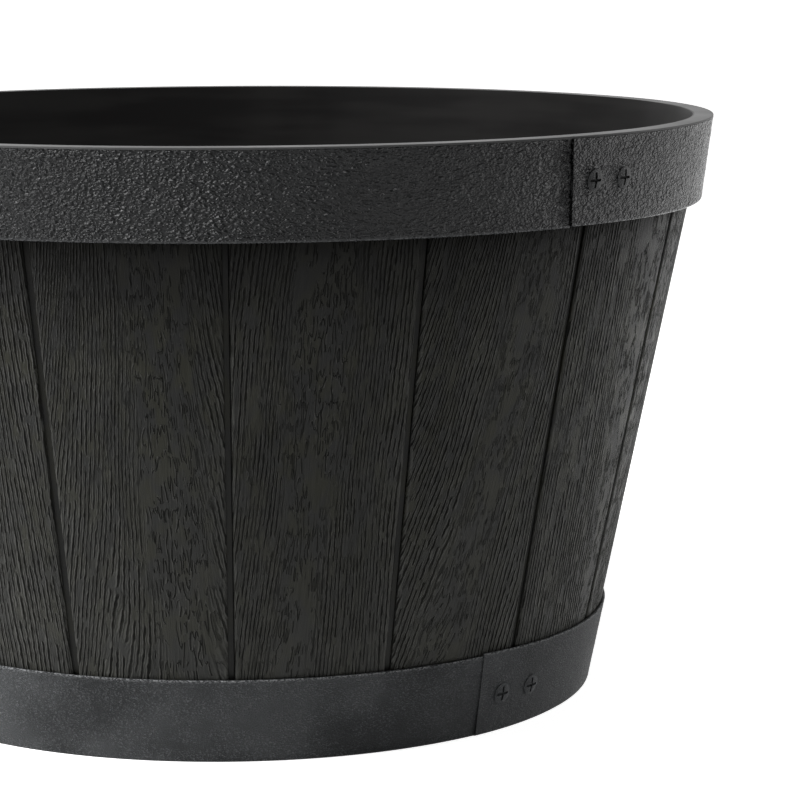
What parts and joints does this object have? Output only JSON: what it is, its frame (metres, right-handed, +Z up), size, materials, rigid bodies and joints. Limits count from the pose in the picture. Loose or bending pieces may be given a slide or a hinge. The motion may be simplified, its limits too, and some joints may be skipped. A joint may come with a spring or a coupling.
{
  "type": "half-barrel planter",
  "caption": "Round floor planter in the form of a half barrel: tapered staves round a smooth liner tub with a flat lip, held by two lapped hoops.",
  "frame": {"origin": "middle of the ring that it stands on, at ground height", "axes": "+Z up along the planter's middle line, -Y towards the front, with the joint of two staves straight ahead and the laps of the hoops to the right"},
  "size_m": [0.3941, 0.394, 0.234],
  "materials": {
    "liner_resin": "smooth moulded resin with a faint sheen",
    "stave_resin": "resin moulded with a wood grain relief",
    "hoop_resin": "resin with a fine hammered relief",
    "screw_resin": "smooth dark screw heads"
  },
  "bodies": {
    "root": {"tub": "liner_resin", "stave_01": "stave_resin", "stave_02": "stave_resin", "stave_03": "stave_resin", "stave_04": "stave_resin", "stave_05": "stave_resin", "stave_06": "stave_resin", "stave_07": "stave_resin", "stave_08": "stave_resin", "stave_09": "stave_resin", "stave_10": "stave_resin", "stave_11": "stave_resin", "stave_12": "stave_resin", "stave_13": "stave_resin", "stave_14": "stave_resin", "stave_15": "stave_resin", "stave_16": "stave_resin", "top_hoop": "hoop_resin", "bottom_hoop": "hoop_resin", "top_hoop_screws": "screw_resin", "bottom_hoop_screws": "screw_resin"}
  },
  "joints": []
}
